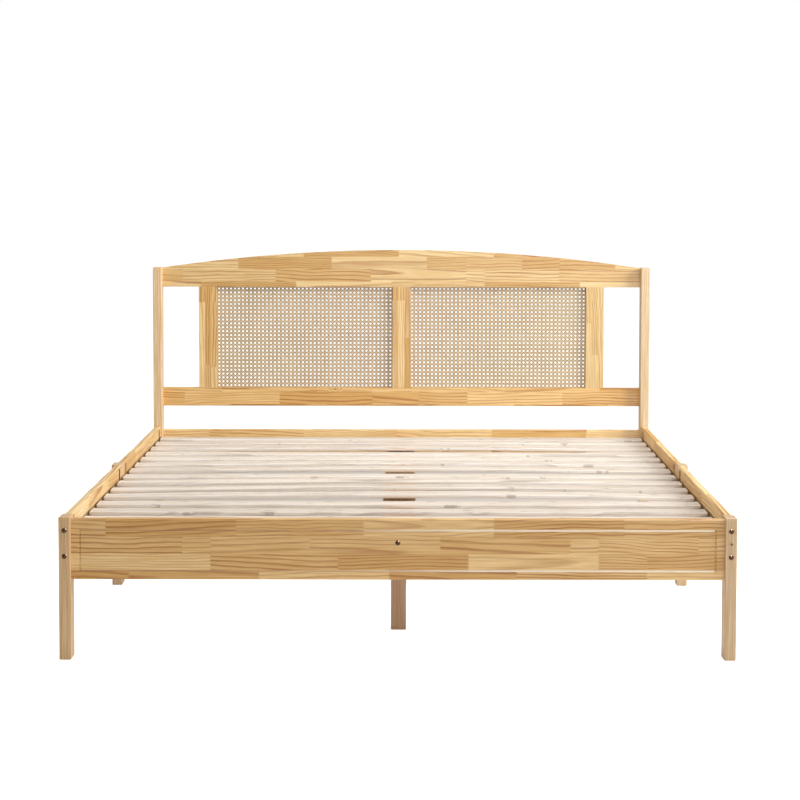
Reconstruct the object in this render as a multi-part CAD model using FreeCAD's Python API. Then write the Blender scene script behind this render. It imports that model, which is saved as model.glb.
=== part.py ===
# King size platform bed of solid pine, with two cane panels in its arched headboard.
# Millimetres. The origin is on the floor under the middle of the bed. +Z is up, the foot end is at -Y,
# the head end at +Y, and right means +X, the right hand of someone who stands at the foot end.
import FreeCAD, Part
import os

Vector = FreeCAD.Vector
X_AXIS = Vector(1, 0, 0)
Y_AXIS = Vector(0, 1, 0)
Z_AXIS = Vector(0, 0, 1)

# Overall sizes
overall_width = 2010.0  # over the outer faces of the corner posts
overall_length = 2121.0  # front of the foot posts to back of the head posts
bed_height = 427.0  # top of the foot posts, mid legs and side rails

# Posts and mid legs, all of one stock
post_width = 35.0
post_depth = 60.0
post_edge_round = 2.5

# Side rails
rail_thickness = 21.0
rail_height = 156.0
rail_inset = 7.0  # post's outer face to rail's outer face
rail_edge_round = 3.0

# Bolted ends of the side rails
rail_bolt_edge = 39.5  # rail's long edge to the nearest bolt
slot_offset = 42.0  # rail's end to the middle of its nut slot
slot_width = 22.0
slot_edge_margin = 8.5  # wood left between a slot and the rail's long edge
slot_reach = 6.0  # how far a slot goes past the bolt's centre line

# Bolts, studs and nuts
bolt_diameter = 6.0
bolt_head_diameter = 15.0
bolt_head_thickness = 3.0  # at the crown of its dome
bolt_head_rim = 0.4  # straight edge under the dome
bolt_socket_flats = 4.0
bolt_socket_depth = 1.2
bolt_clearance = 0.3  # on the radius
bolt_tip_gap = 1.0  # between a bolt's tip and the wood beyond it
bolt_past_nut = 5.0  # a bolt's or stud's tip beyond its half moon nut
nut_thickness = 8.0
nut_height = 24.0
nut_clearance = 0.5
barrel_diameter = 10.0
barrel_length = 14.0
barrel_offset = 50.0  # board's end to the middle of its barrel nut
barrel_clearance = 0.3
cross_bolt_drop = 16.0  # end board bolts pass this far under the rail bolts

# Dowels
dowel_diameter = 8.0
dowel_bite = 20.0
post_dowel_bite = 12.0  # shallower beside the bolts in a post
dowel_clearance = 0.15
dowel_edge = 19.0  # board's edge to the nearest dowel in a pair
pilot_depth = 8.0  # blind hole in the front of the right foot post

# Footboard
footboard_thickness = 22.0
footboard_recess = 12.0  # front of the foot posts to front of the panel
footboard_drop = 5.0  # below the foot posts' tops
footboard_overhang = 32.0  # below the side rails
footboard_edge_round = 4.0
groove_width = 6.0  # at the panel's face
groove_floor = 1.0  # flat bottom between the groove's two slopes
groove_depth = 3.0
groove_top_margin = 32.0
groove_bottom_margin = 24.0
groove_side_margin = 24.0

# Headboard
headboard_thickness = 22.0
headboard_back_inset = 3.0  # back of the head posts to back of the rails
headboard_edge_round = 3.0
head_end_rail_drop = 17.0  # below the side rails' tops
headboard_gap = 97.0  # open height over the head end rail
lower_rail_height = 75.0
cane_opening_height = 411.0
top_rail_end_height = 78.0
crown_rise = 72.0  # middle of the arched top rail over its ends
post_above_rail = 2.0  # head posts over the ends of the top rail
stile_width = 73.0
stile_edge_round = 1.5
side_gap = 147.0  # head post to outer stile
stile_dowel_spacing = 32.0

# Cane and its beads, in a rebate at the back of the headboard frame
rebate_width = 10.0
rebate_depth = 8.0
cane_thickness = 2.0
cane_clearance = 0.5
cane_gap_columns = 22
cane_gap_rows = 13
cane_strand = 10.5  # narrowest cane between two gaps

# Slats and ledgers
slat_count = 15
slat_width = 68.0
slat_thickness = 13.0
slat_drop = 43.0  # side rails' tops to slats' tops
slat_end_gap = 5.0  # slat's end to side rail
slat_post_gap = 2.0  # first and last slat to the corner posts
slat_edge_round = 3.5
slat_screw_setback = 20.0  # slat's front edge to its screws, which clears the joint of the ledgers
ledger_width = 35.0
ledger_height = 30.0
ledger_edge_round = 1.5

# Centre beam and legs
beam_width = 108.0
beam_height = 42.0
beam_edge_round = 3.0
centre_leg_width = 48.0
centre_leg_end = 371.0  # beam's end to the middle of an outer leg
leg_edge_round = 2.0
leg_bolt_diameter = 8.0
leg_bolt_bite = 30.0

# Wood screws
screw_diameter = 4.0
screw_head_diameter = 8.0
screw_head_height = 3.0
screw_clearance = 0.15
slat_screw_bite = 12.0  # into the ledger
ledger_screw_bite = 14.0  # into the side rail
ledger_screw_count = 4
ledger_screw_end = 110.0  # side rail's end to the first ledger screw
screw_spacing = 3.0  # between the tips of slat screws and the ledger screws under them

# Places worked out from the sizes
half_width = overall_width / 2
half_length = overall_length / 2
post_inner = half_width - post_width
foot_back = post_depth - half_length
head_front = half_length - post_depth
mid_half = post_depth / 2

rail_outer = half_width - rail_inset
rail_inner = rail_outer - rail_thickness
rail_bottom = bed_height - rail_height
bolt_line = rail_inner + rail_thickness / 2
rail_bolt_heights = (rail_bottom + rail_bolt_edge, bed_height - rail_bolt_edge)
rail_dowel_height = sum(rail_bolt_heights) / 2
cross_bolt_heights = tuple(height - cross_bolt_drop for height in rail_bolt_heights)
cross_dowel_height = rail_dowel_height - cross_bolt_drop
bolt_hole = bolt_diameter + 2 * bolt_clearance
dowel_hole = dowel_diameter + 2 * dowel_clearance
barrel_hole = barrel_diameter + 2 * barrel_clearance
barrel_tip = barrel_offset + barrel_diameter / 2 + bolt_tip_gap

footboard_front = footboard_recess - half_length
footboard_back = footboard_front + footboard_thickness
footboard_middle = (footboard_front + footboard_back) / 2
footboard_top = bed_height - footboard_drop
footboard_bottom = rail_bottom - footboard_overhang

headboard_back = half_length - headboard_back_inset
headboard_front = headboard_back - headboard_thickness
headboard_middle = (headboard_front + headboard_back) / 2
head_end_rail_top = bed_height - head_end_rail_drop
lower_rail_bottom = head_end_rail_top + headboard_gap
lower_rail_top = lower_rail_bottom + lower_rail_height
top_rail_bottom = lower_rail_top + cane_opening_height
top_rail_end_top = top_rail_bottom + top_rail_end_height
head_post_height = top_rail_end_top + post_above_rail
outer_stile_middle = post_inner - side_gap - stile_width / 2
stile_middles = {"left": -outer_stile_middle, "centre": 0.0, "right": outer_stile_middle}
opening_inner = stile_width / 2
opening_outer = outer_stile_middle - stile_width / 2
cane_back = headboard_back - rebate_depth + cane_thickness

slat_top = bed_height - slat_drop
slat_bottom = slat_top - slat_thickness
slat_half_length = rail_inner - slat_end_gap
slat_first = foot_back + slat_post_gap
slat_last = head_front - slat_post_gap - slat_width
slat_pitch = (slat_last - slat_first) / (slat_count - 1)
ledger_inner = rail_inner - ledger_width
slat_screw_place = (slat_half_length + ledger_inner) / 2
ledger_screw_height = slat_bottom - slat_screw_bite - screw_spacing - screw_head_diameter / 2

beam_bottom = slat_bottom - beam_height
beam_middle = slat_bottom - beam_height / 2
leg_places = {
    "front": footboard_back + centre_leg_end,
    "middle": (footboard_back + headboard_front) / 2,
    "rear": headboard_front - centre_leg_end,
}

# Ends of the half rails on one side: where each end is, and which way the rail runs from it
rail_ends = ((foot_back, 1), (-mid_half, -1), (mid_half, 1), (head_front, -1))


def block(low, high):
    """A plain block between two corners."""
    size = high - low
    return Part.makeBox(size.x, size.y, size.z, low)


def rounded(shape, radius, axis=None):
    """Round a block's edges that run along an axis, or all its edges."""
    edges = shape.Edges
    if axis:
        edges = [edge for edge in edges if abs(edge.tangentAt(edge.FirstParameter).dot(axis)) > 0.99]
    return shape.makeFillet(radius, edges)


def rod(start, direction, diameter, length):
    """A round bar, also used as the tool for a bore."""
    return Part.makeCylinder(diameter / 2, length, start, direction)


def mirrored(shape, axis=X_AXIS):
    """The same piece on the other side of the bed's middle."""
    return shape.mirror(Vector(), axis)


def both_sides(shapes):
    """The given pieces and their mirror images across the bed's width."""
    return shapes + [mirrored(shape) for shape in shapes]


def save(node, shape):
    shape.exportStep(os.path.join("parts", node + ".step"))


def save_group(node, shapes):
    save(node, Part.makeCompound(shapes))


def bolt(seat, direction, length):
    """A domed head that bears on its seat, with a hexagon socket, and a plain shank."""
    head_top = seat - direction * bolt_head_thickness
    head = rod(head_top, direction, bolt_head_diameter, bolt_head_thickness)
    dome_rise = bolt_head_thickness - bolt_head_rim
    dome_radius = (bolt_head_diameter ** 2 / 4 + dome_rise ** 2) / (2 * dome_rise)
    head = head.common(Part.makeSphere(dome_radius, head_top + direction * dome_radius, -direction))
    socket_outline = Part.makePolygon([
        Vector(bolt_socket_flats / 3 ** 0.5, 0, 0),
        Vector(bolt_socket_flats / 12 ** 0.5, bolt_socket_flats / 2, 0),
        Vector(-bolt_socket_flats / 12 ** 0.5, bolt_socket_flats / 2, 0),
        Vector(-bolt_socket_flats / 3 ** 0.5, 0, 0),
        Vector(-bolt_socket_flats / 12 ** 0.5, -bolt_socket_flats / 2, 0),
        Vector(bolt_socket_flats / 12 ** 0.5, -bolt_socket_flats / 2, 0),
        Vector(bolt_socket_flats / 3 ** 0.5, 0, 0),
    ])
    socket = Part.Face(socket_outline).extrude(Z_AXIS * bolt_socket_depth)
    socket.Placement = FreeCAD.Placement(head_top, FreeCAD.Rotation(Z_AXIS, direction))
    shank = rod(seat, direction, bolt_diameter, length)
    return head.cut(socket).fuse(shank).removeSplitter()


def screw(start, direction, length, clearance=0.0):
    """A countersunk wood screw, or with a clearance the tool that cuts its hole."""
    head_radius = screw_head_diameter / 2 + clearance
    shank_radius = screw_diameter / 2 + clearance
    head = Part.makeCone(head_radius, shank_radius, screw_head_height, start, direction)
    shank = Part.makeCylinder(shank_radius, length + clearance, start, direction)
    return head.fuse(shank).removeSplitter()


def barrel_nut(middle, axis, bolt_axis):
    """A round cross nut with the bolt's hole across its middle."""
    body = rod(middle - axis * (barrel_length / 2), axis, barrel_diameter, barrel_length)
    return body.cut(rod(middle - bolt_axis * barrel_diameter, bolt_axis, bolt_hole, 2 * barrel_diameter))


def barrel_pocket(middle, axis, mouth):
    """The blind hole for a barrel nut, along an axis out to a mouth that far from its middle."""
    start = middle - axis * (barrel_length / 2 + barrel_clearance)
    return rod(start, axis, barrel_hole, barrel_length / 2 + barrel_clearance + mouth)


def rail_end_bores(end, inward):
    """The nut slots, bolt holes and dowel hole in one end of a right hand side rail."""
    middle = end + inward * slot_offset
    slot_half = rail_bolt_edge - slot_edge_margin
    straight = slot_half - slot_width / 2
    depth = bolt_line + slot_reach - rail_inner
    tools = []
    for height in rail_bolt_heights:
        low_end = Vector(rail_inner, middle, height - straight)
        high_end = Vector(rail_inner, middle, height + straight)
        middle_low = Vector(rail_inner, middle - slot_width / 2, height - straight)
        middle_high = Vector(rail_inner + depth, middle + slot_width / 2, height + straight)
        tools.append(block(middle_low, middle_high))
        tools.append(rod(low_end, X_AXIS, slot_width, depth))
        tools.append(rod(high_end, X_AXIS, slot_width, depth))
        tools.append(rod(Vector(bolt_line, end, height), Y_AXIS * inward, bolt_hole, slot_offset))
    dowel_start = Vector(bolt_line, end, rail_dowel_height)
    tools.append(rod(dowel_start, Y_AXIS * inward, dowel_hole, dowel_bite + dowel_clearance))
    return tools


def ledger_screw_starts(start, end):
    """Where the screws of one ledger go in, along a side rail from start to end."""
    first = start + ledger_screw_end
    step = (end - start - 2 * ledger_screw_end) / (ledger_screw_count - 1)
    return [Vector(ledger_inner, first + step * i, ledger_screw_height) for i in range(ledger_screw_count)]


ledger_screw_length = ledger_width + ledger_screw_bite
slat_screw_length = slat_thickness + slat_screw_bite
rail_spans = {"front": (foot_back, -mid_half), "rear": (mid_half, head_front)}
ledger_spans = {"front": (foot_back, 0.0), "rear": (0.0, head_front)}
slat_fronts = [slat_first + slat_pitch * i for i in range(slat_count)]


def slat_screw_starts(front):
    """Where the two end screws of a slat go in."""
    return [Vector(side * slat_screw_place, front + slat_screw_setback, slat_top) for side in (-1, 1)]


def corner_post_bores(face, inward, board_dowel_height, board_middle):
    """Bolt and dowel holes that every right hand corner post has. The rail meets the post at face."""
    far_face = face - inward * post_depth
    tools = []
    for height in rail_bolt_heights:
        tools.append(rod(Vector(bolt_line, far_face, height), Y_AXIS * inward, bolt_hole, post_depth))
    dowel_start = Vector(bolt_line, face, rail_dowel_height)
    tools.append(rod(dowel_start, Y_AXIS * -inward, dowel_hole, dowel_bite + dowel_clearance))
    for height in cross_bolt_heights:
        tools.append(rod(Vector(post_inner, board_middle, height), X_AXIS, bolt_hole, post_width))
    cross_start = Vector(post_inner, board_middle, board_dowel_height)
    tools.append(rod(cross_start, X_AXIS, dowel_hole, post_dowel_bite + dowel_clearance))
    return tools


def make_foot_posts():
    low = Vector(post_inner, -half_length, 0)
    high = Vector(half_width, foot_back, bed_height)
    post = rounded(block(low, high), post_edge_round)
    post = post.cut(corner_post_bores(foot_back, 1, cross_dowel_height, footboard_middle))
    save("foot_post_left", mirrored(post))
    # The right post also has a pilot hole in its front face, in line with its dowel
    pilot_start = Vector(bolt_line, -half_length, rail_dowel_height)
    save("foot_post_right", post.cut(rod(pilot_start, Y_AXIS, dowel_hole, pilot_depth)))


def rail_dowel_pair(bottom, top):
    """Heights of the two dowels in the end of a headboard rail."""
    return (bottom + dowel_edge, top - dowel_edge)


headboard_dowel_heights = (
    rail_dowel_pair(lower_rail_bottom, lower_rail_top) + rail_dowel_pair(top_rail_bottom, top_rail_end_top)
)


def make_head_posts():
    low = Vector(post_inner, head_front, 0)
    high = Vector(half_width, half_length, head_post_height)
    post = rounded(block(low, high), post_edge_round)
    tools = corner_post_bores(head_front, -1, cross_dowel_height, headboard_middle)
    for height in headboard_dowel_heights:
        start = Vector(post_inner, headboard_middle, height)
        tools.append(rod(start, X_AXIS, dowel_hole, dowel_bite + dowel_clearance))
    post = post.cut(tools)
    save("head_post_left", mirrored(post))
    save("head_post_right", post)


def end_board_bores(board_middle, inner_face):
    """Holes in the right end of the footboard or head end rail. Its barrel nuts go in from inner_face."""
    towards_bed = 1 if inner_face > board_middle else -1
    mouth = abs(inner_face - board_middle)
    tools = []
    for height in cross_bolt_heights:
        start = Vector(post_inner, board_middle, height)
        tools.append(rod(start, -X_AXIS, bolt_hole, barrel_tip + bolt_tip_gap))
        nut_middle = Vector(post_inner - barrel_offset, board_middle, height)
        tools.append(barrel_pocket(nut_middle, Y_AXIS * towards_bed, mouth))
    dowel_start = Vector(post_inner, board_middle, cross_dowel_height)
    tools.append(rod(dowel_start, -X_AXIS, dowel_hole, dowel_bite + dowel_clearance))
    return tools


def groove_rectangle(inset, depth):
    """A rectangle that far inside the footboard groove's outer edge, and that far behind the panel's face."""
    half = post_inner - groove_side_margin - inset
    low = footboard_bottom + groove_bottom_margin + inset
    high = footboard_top - groove_top_margin - inset
    place = footboard_front + depth
    corners = [
        Vector(-half, place, low),
        Vector(half, place, low),
        Vector(half, place, high),
        Vector(-half, place, high),
    ]
    return Part.makePolygon(corners + corners[:1])


def footboard_groove():
    """The tool for the routed groove: two slopes down to a narrow floor, round the whole rectangle."""
    slope = (groove_width - groove_floor) / 2
    outer_slope = [groove_rectangle(0.0, 0.0), groove_rectangle(slope, groove_depth)]
    inner_slope = [groove_rectangle(groove_width, 0.0), groove_rectangle(groove_width - slope, groove_depth)]
    return Part.makeLoft(outer_slope, True, True).cut(Part.makeLoft(inner_slope, True, True))


def make_footboard():
    low = Vector(-post_inner, footboard_front, footboard_bottom)
    high = Vector(post_inner, footboard_back, footboard_top)
    panel = rounded(block(low, high), footboard_edge_round, X_AXIS)
    tools = both_sides(end_board_bores(footboard_middle, footboard_back))
    tools.append(footboard_groove())
    tools.append(rod(Vector(0, footboard_front, beam_middle), Y_AXIS, bolt_hole, footboard_thickness))
    save("footboard_panel", panel.cut(tools))


def make_head_end_rail():
    low = Vector(-post_inner, headboard_front, rail_bottom)
    high = Vector(post_inner, headboard_back, head_end_rail_top)
    rail = rounded(block(low, high), headboard_edge_round, X_AXIS)
    tools = both_sides(end_board_bores(headboard_middle, headboard_front))
    tools.append(rod(Vector(0, headboard_front, beam_middle), Y_AXIS, bolt_hole, headboard_thickness))
    save("head_end_rail", rail.cut(tools))


def cane_rebate(side):
    """The pocket at the back of the headboard frame for one cane panel."""
    reach = rebate_width
    inner = opening_inner - reach
    outer = opening_outer + reach
    low = Vector(inner, headboard_back - rebate_depth, lower_rail_top - reach)
    high = Vector(outer, headboard_back, top_rail_bottom + reach)
    pocket = block(low, high)
    return pocket if side > 0 else mirrored(pocket)


def stile_dowel_places():
    """Where the dowels of the stiles stand across the bed, a pair to each stile."""
    half_spacing = stile_dowel_spacing / 2
    return [middle + offset for middle in stile_middles.values() for offset in (-half_spacing, half_spacing)]


def frame_dowel_bores(joint_height, upward):
    """Dowel holes into the edge of a headboard rail, one pair under or over each stile."""
    depth = dowel_bite + dowel_clearance
    starts = [Vector(place, headboard_middle, joint_height) for place in stile_dowel_places()]
    return [rod(start, Z_AXIS * upward, dowel_hole, depth) for start in starts]


def rail_end_dowel_bores(heights):
    """Dowel holes into both ends of a headboard rail."""
    starts = [Vector(post_inner, headboard_middle, height) for height in heights]
    return both_sides([rod(start, -X_AXIS, dowel_hole, dowel_bite + dowel_clearance) for start in starts])


def make_headboard_rails():
    rebates = [cane_rebate(-1), cane_rebate(1)]
    low = Vector(-post_inner, headboard_front, lower_rail_bottom)
    high = Vector(post_inner, headboard_back, lower_rail_top)
    lower_rail = block(low, high)
    bottom_edges = [edge for edge in lower_rail.Edges
                    if abs(edge.tangentAt(edge.FirstParameter).dot(X_AXIS)) > 0.99
                    and edge.CenterOfMass.z < lower_rail_bottom + headboard_edge_round]
    lower_rail = lower_rail.makeFillet(headboard_edge_round, bottom_edges)
    bores = rail_end_dowel_bores(rail_dowel_pair(lower_rail_bottom, lower_rail_top))
    bores += frame_dowel_bores(lower_rail_top, -1)
    save("headboard_lower_rail", lower_rail.cut(rebates + bores))

    bottom_left = Vector(-post_inner, headboard_front, top_rail_bottom)
    bottom_right = Vector(post_inner, headboard_front, top_rail_bottom)
    end_right = Vector(post_inner, headboard_front, top_rail_end_top)
    end_left = Vector(-post_inner, headboard_front, top_rail_end_top)
    crown = Vector(0, headboard_front, top_rail_end_top + crown_rise)
    outline = Part.Wire([
        Part.LineSegment(bottom_left, bottom_right).toShape(),
        Part.LineSegment(bottom_right, end_right).toShape(),
        Part.Arc(end_right, crown, end_left).toShape(),
        Part.LineSegment(end_left, bottom_left).toShape(),
    ])
    top_rail = Part.Face(outline).extrude(Y_AXIS * headboard_thickness)
    arched_edges = [edge for edge in top_rail.Edges if edge.CenterOfMass.z > top_rail_end_top]
    top_rail = top_rail.makeFillet(headboard_edge_round, arched_edges)
    bores = rail_end_dowel_bores(rail_dowel_pair(top_rail_bottom, top_rail_end_top))
    bores += frame_dowel_bores(top_rail_bottom, 1)
    save("headboard_top_rail", top_rail.cut(rebates + bores))


def make_stiles():
    depth = dowel_bite + dowel_clearance
    for name, middle in stile_middles.items():
        low = Vector(middle - stile_width / 2, headboard_front, lower_rail_top)
        high = Vector(middle + stile_width / 2, headboard_back, top_rail_bottom)
        stile = rounded(block(low, high), stile_edge_round, Z_AXIS)
        tools = [cane_rebate(-1), cane_rebate(1)]
        for side in (-1, 1):
            place = middle + side * stile_dowel_spacing / 2
            tools.append(rod(Vector(place, headboard_middle, lower_rail_top), Z_AXIS, dowel_hole, depth))
            tools.append(rod(Vector(place, headboard_middle, top_rail_bottom), -Z_AXIS, dowel_hole, depth))
        save("headboard_stile_" + name, stile.cut(tools))


def make_cane_panels():
    """One sheet a panel, with a grid of round gaps, and four beads behind it."""
    margin = rebate_width - cane_clearance
    front = headboard_back - rebate_depth
    outer_low = Vector(opening_inner - margin, front, lower_rail_top - margin)
    outer_high = Vector(opening_outer + margin, front, top_rail_bottom + margin)
    corners = [
        outer_low,
        Vector(outer_high.x, front, outer_low.z),
        outer_high,
        Vector(outer_low.x, front, outer_high.z),
        outer_low,
    ]
    pitch_x = (opening_outer - opening_inner) / cane_gap_columns
    pitch_z = cane_opening_height / cane_gap_rows
    gap_radius = (min(pitch_x, pitch_z) - cane_strand) / 2
    gaps = []
    for column in range(cane_gap_columns):
        across = opening_inner + pitch_x * (column + 0.5)
        for row in range(cane_gap_rows):
            middle = Vector(across, front, lower_rail_top + pitch_z * (row + 0.5))
            gaps.append(Part.Wire(Part.makeCircle(gap_radius, middle, Y_AXIS)))
    sheet = Part.Face([Part.makePolygon(corners)] + gaps, "Part::FaceMakerBullseye")
    panel = sheet.extrude(Y_AXIS * cane_thickness)
    save("cane_panel_right", panel)
    save("cane_panel_left", mirrored(panel))

    def bead(left, right, bottom, top):
        return block(Vector(left, cane_back, bottom), Vector(right, headboard_back, top))

    beads = [
        bead(outer_low.x, outer_high.x, outer_low.z, lower_rail_top),
        bead(outer_low.x, outer_high.x, top_rail_bottom, outer_high.z),
        bead(outer_low.x, opening_inner, lower_rail_top, top_rail_bottom),
        bead(opening_outer, outer_high.x, lower_rail_top, top_rail_bottom),
    ]
    save_group("cane_beads_right", beads)
    save_group("cane_beads_left", [mirrored(strip) for strip in beads])


def make_side_rails():
    for name, (start, end) in rail_spans.items():
        low = Vector(rail_inner, start, rail_bottom)
        high = Vector(rail_outer, end, bed_height)
        rail = rounded(block(low, high), rail_edge_round, Y_AXIS)
        tools = rail_end_bores(start, 1) + rail_end_bores(end, -1)
        for screw_start in ledger_screw_starts(start, end):
            tools.append(screw(screw_start, X_AXIS, ledger_screw_length, screw_clearance))
        rail = rail.cut(tools)
        save("side_rail_right_" + name, rail)
        save("side_rail_left_" + name, mirrored(rail))


def make_mid_legs():
    """The mid legs stand between the half rails, flush with the rails' inner faces."""
    low = Vector(rail_inner, -mid_half, 0)
    high = Vector(rail_inner + post_width, mid_half, bed_height)
    leg = rounded(block(low, high), post_edge_round)
    tools = []
    for height in rail_bolt_heights:
        tools.append(rod(Vector(bolt_line, -mid_half, height), Y_AXIS, bolt_hole, post_depth))
    for side in (-1, 1):
        start = Vector(bolt_line, side * mid_half, rail_dowel_height)
        tools.append(rod(start, Y_AXIS * -side, dowel_hole, dowel_bite + dowel_clearance))
    leg = leg.cut(tools)
    save("mid_leg_right", leg)
    save("mid_leg_left", mirrored(leg))


def make_ledgers():
    for name, (start, end) in ledger_spans.items():
        low = Vector(ledger_inner, start, slat_bottom - ledger_height)
        high = Vector(rail_inner, end, slat_bottom)
        ledger = rounded(block(low, high), ledger_edge_round, Y_AXIS)
        tools = []
        for screw_start in ledger_screw_starts(*rail_spans[name]):
            tools.append(screw(screw_start, X_AXIS, ledger_screw_length, screw_clearance))
        for front in slat_fronts:
            right_start = slat_screw_starts(front)[1]
            tools.append(screw(right_start, -Z_AXIS, slat_screw_length, screw_clearance))
        ledger = ledger.cut(tools)
        save("slat_ledger_right_" + name, ledger)
        save("slat_ledger_left_" + name, mirrored(ledger))


def make_slats():
    for number, front in enumerate(slat_fronts, start=1):
        low = Vector(-slat_half_length, front, slat_bottom)
        high = Vector(slat_half_length, front + slat_width, slat_top)
        slat = rounded(block(low, high), slat_edge_round)
        for start in slat_screw_starts(front):
            slat = slat.cut(screw(start, -Z_AXIS, slat_screw_length, screw_clearance))
        save("slat_%02d" % number, slat)


def beam_bolt_ends():
    """Each end of the beam: the face of the board that it meets, and the way into the beam."""
    return ((footboard_back, footboard_front, Y_AXIS), (headboard_front, headboard_back, -Y_AXIS))


def make_centre_beam():
    low = Vector(-beam_width / 2, footboard_back, beam_bottom)
    high = Vector(beam_width / 2, headboard_front, slat_bottom)
    beam = rounded(block(low, high), beam_edge_round, Y_AXIS)
    tools = []
    for end, _, inward in beam_bolt_ends():
        tools.append(rod(Vector(0, end, beam_middle), inward, bolt_hole, barrel_tip + bolt_tip_gap))
        nut_middle = Vector(0, end, beam_middle) + inward * barrel_offset
        tools.append(barrel_pocket(nut_middle, -Z_AXIS, beam_height / 2))
    leg_hole = leg_bolt_diameter + 2 * bolt_clearance
    for place in leg_places.values():
        tools.append(rod(Vector(0, place, beam_bottom), Z_AXIS, leg_hole, leg_bolt_bite + bolt_clearance))
    save("centre_beam", beam.cut(tools))

    for name, place in leg_places.items():
        low = Vector(-centre_leg_width / 2, place - centre_leg_width / 2, 0)
        high = Vector(centre_leg_width / 2, place + centre_leg_width / 2, beam_bottom)
        leg = rounded(block(low, high), leg_edge_round)
        socket = rod(Vector(0, place, beam_bottom), -Z_AXIS, leg_hole, leg_bolt_bite + bolt_clearance)
        save("centre_leg_" + name, leg.cut(socket))

    starts = [Vector(0, place, beam_bottom - leg_bolt_bite) for place in leg_places.values()]
    leg_bolts = [rod(start, Z_AXIS, leg_bolt_diameter, 2 * leg_bolt_bite) for start in starts]
    save_group("centre_leg_bolts", leg_bolts)


def half_moon_nut(end, inward, height):
    """A nut with a flat bearing face and a round back, in the slot of a right hand rail."""
    wall = end + inward * (slot_offset - slot_width / 2)
    length = 2 * (slot_reach - nut_clearance)
    near = bolt_line - length / 2
    top = Vector(near, wall, height + nut_height / 2)
    bottom = Vector(near, wall, height - nut_height / 2)
    back = Vector(near, wall + inward * nut_thickness, height)
    outline = Part.Wire([Part.Arc(top, back, bottom).toShape(), Part.LineSegment(bottom, top).toShape()])
    body = Part.Face(outline).extrude(X_AXIS * length)
    return body.cut(rod(Vector(bolt_line, wall, height), Y_AXIS * inward, bolt_hole, nut_thickness))


def make_rail_fasteners():
    bolt_reach = slot_offset - slot_width / 2 + nut_thickness + bolt_past_nut
    rail_bolt_length = post_depth + bolt_reach
    stud_half = mid_half + bolt_reach
    bolts = []
    studs = []
    nuts = []
    for height in rail_bolt_heights:
        bolts.append(bolt(Vector(bolt_line, -half_length, height), Y_AXIS, rail_bolt_length))
        bolts.append(bolt(Vector(bolt_line, half_length, height), -Y_AXIS, rail_bolt_length))
        studs.append(rod(Vector(bolt_line, -stud_half, height), Y_AXIS, bolt_diameter, 2 * stud_half))
        nuts += [half_moon_nut(end, inward, height) for end, inward in rail_ends]
    dowel_starts = [Vector(bolt_line, end - dowel_bite, rail_dowel_height) for end, _ in rail_ends]
    dowels = [rod(start, Y_AXIS, dowel_diameter, 2 * dowel_bite) for start in dowel_starts]
    save_group("rail_bolts", both_sides(bolts))
    save_group("mid_leg_studs", both_sides(studs))
    save_group("half_moon_nuts", both_sides(nuts))
    save_group("rail_dowels", both_sides(dowels))


def end_board_fasteners(board_middle):
    """Right hand bolts, barrel nuts and dowel of the footboard or the head end rail."""
    bolts = []
    nuts = []
    for height in cross_bolt_heights:
        bolts.append(bolt(Vector(half_width, board_middle, height), -X_AXIS, post_width + barrel_tip))
        nuts.append(barrel_nut(Vector(post_inner - barrel_offset, board_middle, height), Y_AXIS, X_AXIS))
    dowel_start = Vector(post_inner - dowel_bite, board_middle, cross_dowel_height)
    dowel = rod(dowel_start, X_AXIS, dowel_diameter, dowel_bite + post_dowel_bite)
    return bolts, nuts, [dowel]


def make_end_board_fasteners():
    foot_bolts, foot_nuts, foot_dowels = end_board_fasteners(footboard_middle)
    head_bolts, head_nuts, head_dowels = end_board_fasteners(headboard_middle)
    save_group("footboard_bolts", both_sides(foot_bolts))
    save_group("head_end_rail_bolts", both_sides(head_bolts))
    save_group("end_board_dowels", both_sides(foot_dowels + head_dowels))

    beam_bolts = []
    beam_nuts = []
    for end, outer_face, inward in beam_bolt_ends():
        length = abs(end - outer_face) + barrel_tip
        beam_bolts.append(bolt(Vector(0, outer_face, beam_middle), inward, length))
        beam_nuts.append(barrel_nut(Vector(0, end, beam_middle) + inward * barrel_offset, Z_AXIS, Y_AXIS))
    save_group("beam_bolts", beam_bolts)
    save_group("barrel_nuts", both_sides(foot_nuts + head_nuts) + beam_nuts)


def make_headboard_dowels():
    dowels = []
    for height in headboard_dowel_heights:
        start = Vector(post_inner - dowel_bite, headboard_middle, height)
        dowels.append(rod(start, X_AXIS, dowel_diameter, 2 * dowel_bite))
    dowels = both_sides(dowels)
    for place in stile_dowel_places():
        for joint_height in (lower_rail_top, top_rail_bottom):
            start = Vector(place, headboard_middle, joint_height - dowel_bite)
            dowels.append(rod(start, Z_AXIS, dowel_diameter, 2 * dowel_bite))
    save_group("headboard_dowels", dowels)


def make_screws():
    ledger_screws = []
    for start, end in rail_spans.values():
        for screw_start in ledger_screw_starts(start, end):
            ledger_screws.append(screw(screw_start, X_AXIS, ledger_screw_length))
    save_group("ledger_screws", both_sides(ledger_screws))
    slat_screws = [screw(start, -Z_AXIS, slat_screw_length)
                   for front in slat_fronts for start in slat_screw_starts(front)]
    save_group("slat_screws", slat_screws)


def main():
    os.makedirs("parts", exist_ok=True)
    make_foot_posts()
    make_footboard()
    make_head_posts()
    make_head_end_rail()
    make_headboard_rails()
    make_stiles()
    make_cane_panels()
    make_side_rails()
    make_mid_legs()
    make_ledgers()
    make_slats()
    make_centre_beam()
    make_rail_fasteners()
    make_end_board_fasteners()
    make_headboard_dowels()
    make_screws()


main()
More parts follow.
